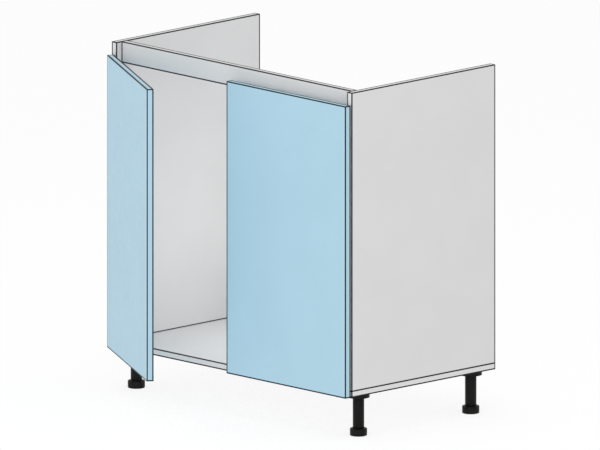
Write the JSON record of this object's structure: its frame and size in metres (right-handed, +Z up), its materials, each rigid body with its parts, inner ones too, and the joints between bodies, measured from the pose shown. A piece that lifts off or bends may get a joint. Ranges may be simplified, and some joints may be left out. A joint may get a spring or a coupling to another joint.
{
  "type": "sink base cabinet",
  "caption": "Open-topped sink base cabinet with grey carcass, pale blue overlay doors on concealed hinges, no back panel, and adjustable black plastic legs.",
  "frame": {"origin": "on the floor, under the centre of the carcass's 800 by 460 mm plan", "axes": "+X to the right as one faces the doors, +Y from the doors to the open back, +Z up"},
  "size_m": [0.8006, 0.6755, 0.82],
  "materials": {
    "carcass_board": "light grey melamine-faced chipboard, fine satin texture",
    "carcass_edge": "light grey edge band, satin",
    "door_face": "pale blue satin-lacquered faced board",
    "door_edge": "pale blue edge band, satin",
    "leg_plastic": "black moulded plastic, low sheen",
    "hinge_nickel": "nickel-plated pressed steel, satin",
    "hinge_pin": "bright plated steel pin",
    "zinc_screw": "bright zinc-plated steel",
    "cam_alloy": "grey die-cast zinc alloy",
    "beech": "fluted beech dowel",
    "bumper": "clear soft plastic pad"
  },
  "bodies": {
    "carcass": {"side_panel_left": "carcass_board", "side_panel_right": "carcass_board", "bottom_panel": "carcass_board", "front_rail": "carcass_board", "rear_rail": "carcass_board", "carcass_edge_bands": "carcass_edge", "case_screws": "zinc_screw", "wooden_dowels": "beech", "cam_bolts": "zinc_screw", "cam_locks": "cam_alloy", "hinge_plate_screws": "zinc_screw", "hinge_arm_screws": "zinc_screw", "leg_screws": "zinc_screw", "left_lower_hinge_arm": "hinge_nickel", "left_lower_hinge_plate": "hinge_nickel", "left_upper_hinge_arm": "hinge_nickel", "left_upper_hinge_plate": "hinge_nickel", "right_lower_hinge_arm": "hinge_nickel", "right_lower_hinge_plate": "hinge_nickel", "right_upper_hinge_arm": "hinge_nickel", "right_upper_hinge_plate": "hinge_nickel", "front_left_leg_socket": "leg_plastic", "front_left_leg_tube": "leg_plastic", "front_right_leg_socket": "leg_plastic", "front_right_leg_tube": "leg_plastic", "rear_left_leg_socket": "leg_plastic", "rear_left_leg_tube": "leg_plastic", "rear_right_leg_socket": "leg_plastic", "rear_right_leg_tube": "leg_plastic"},
    "left_door": {"left_door": "door_face", "left_door_edge_bands": "door_edge", "left_door_bumpers": "bumper", "left_cup_screws": "zinc_screw", "left_lower_hinge_cup": "hinge_nickel", "left_lower_hinge_pin": "hinge_pin", "left_upper_hinge_cup": "hinge_nickel", "left_upper_hinge_pin": "hinge_pin"},
    "right_door": {"right_door": "door_face", "right_door_edge_bands": "door_edge", "right_door_bumpers": "bumper", "right_cup_screws": "zinc_screw", "right_lower_hinge_cup": "hinge_nickel", "right_lower_hinge_pin": "hinge_pin", "right_upper_hinge_cup": "hinge_nickel", "right_upper_hinge_pin": "hinge_pin"},
    "front_left_foot": {"front_left_leg_foot": "leg_plastic"},
    "front_right_foot": {"front_right_leg_foot": "leg_plastic"},
    "rear_left_foot": {"rear_left_leg_foot": "leg_plastic"},
    "rear_right_foot": {"rear_right_leg_foot": "leg_plastic"}
  },
  "joints": [
    {"name": "left_door_swing", "type": "hinge", "parent": "carcass", "child": "left_door", "pos_m": [-0.3911, -0.242, 0.445], "axis": [0, 0, -1], "range_deg": [-30.5, 59.5]},
    {"name": "right_door_swing", "type": "hinge", "parent": "carcass", "child": "right_door", "pos_m": [0.3911, -0.242, 0.445], "axis": [0, 0, 1], "range_deg": [0, 90]},
    {"name": "front_left_foot_adjust", "type": "slide", "parent": "carcass", "child": "front_left_foot", "axis": [0, 0, -1], "range_m": [0, 0.02]},
    {"name": "front_right_foot_adjust", "type": "slide", "parent": "carcass", "child": "front_right_foot", "axis": [0, 0, -1], "range_m": [0, 0.02]},
    {"name": "rear_left_foot_adjust", "type": "slide", "parent": "carcass", "child": "rear_left_foot", "axis": [0, 0, -1], "range_m": [0, 0.02]},
    {"name": "rear_right_foot_adjust", "type": "slide", "parent": "carcass", "child": "rear_right_foot", "axis": [0, 0, -1], "range_m": [0, 0.02]}
  ]
}
